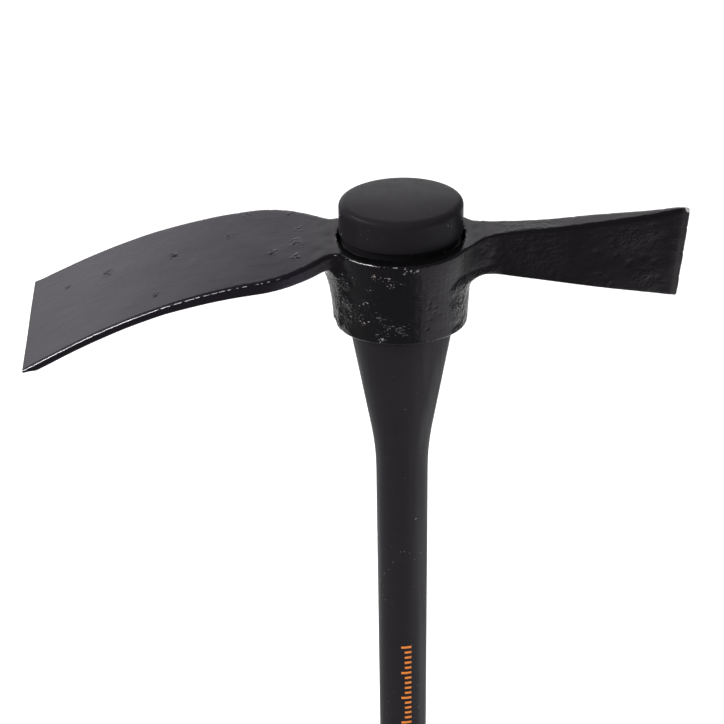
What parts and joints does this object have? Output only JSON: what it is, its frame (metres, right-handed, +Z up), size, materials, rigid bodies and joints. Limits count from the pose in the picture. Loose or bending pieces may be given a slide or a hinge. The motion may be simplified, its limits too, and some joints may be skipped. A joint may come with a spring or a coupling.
{
  "type": "cutter mattock",
  "caption": "Long-handled cutter mattock: forged head with a wide adze and a vertical cutter blade, slipped over the flared end of an oval composite handle with a soft grip.",
  "frame": {"origin": "centre of the butt face, on the handle's axis", "axes": "+Z up along the handle towards the head, -X towards the adze blade, +X towards the cutter blade, -Y the side that the picture shows"},
  "size_m": [0.3978, 0.0906, 0.9],
  "materials": {
    "forged_steel": "black lacquer over rough forged steel",
    "fibreglass": "pultruded glass fibre",
    "moulded_plastic": "satin moulded",
    "cap_plastic": "satin moulded",
    "grip_rubber": "matte, grooved",
    "butt_rubber": "matte"
  },
  "bodies": {
    "handle": {"core_rod": "fibreglass", "shaft_jacket": "moulded_plastic", "top_cap": "cap_plastic", "grip_sleeve": "grip_rubber", "butt_knob": "butt_rubber"},
    "head": {"mattock_head": "forged_steel"}
  },
  "joints": [
    {"name": "head_slide", "type": "slide", "parent": "handle", "child": "head", "axis": [0, 0, -1], "range_m": [0, 0.8]}
  ]
}
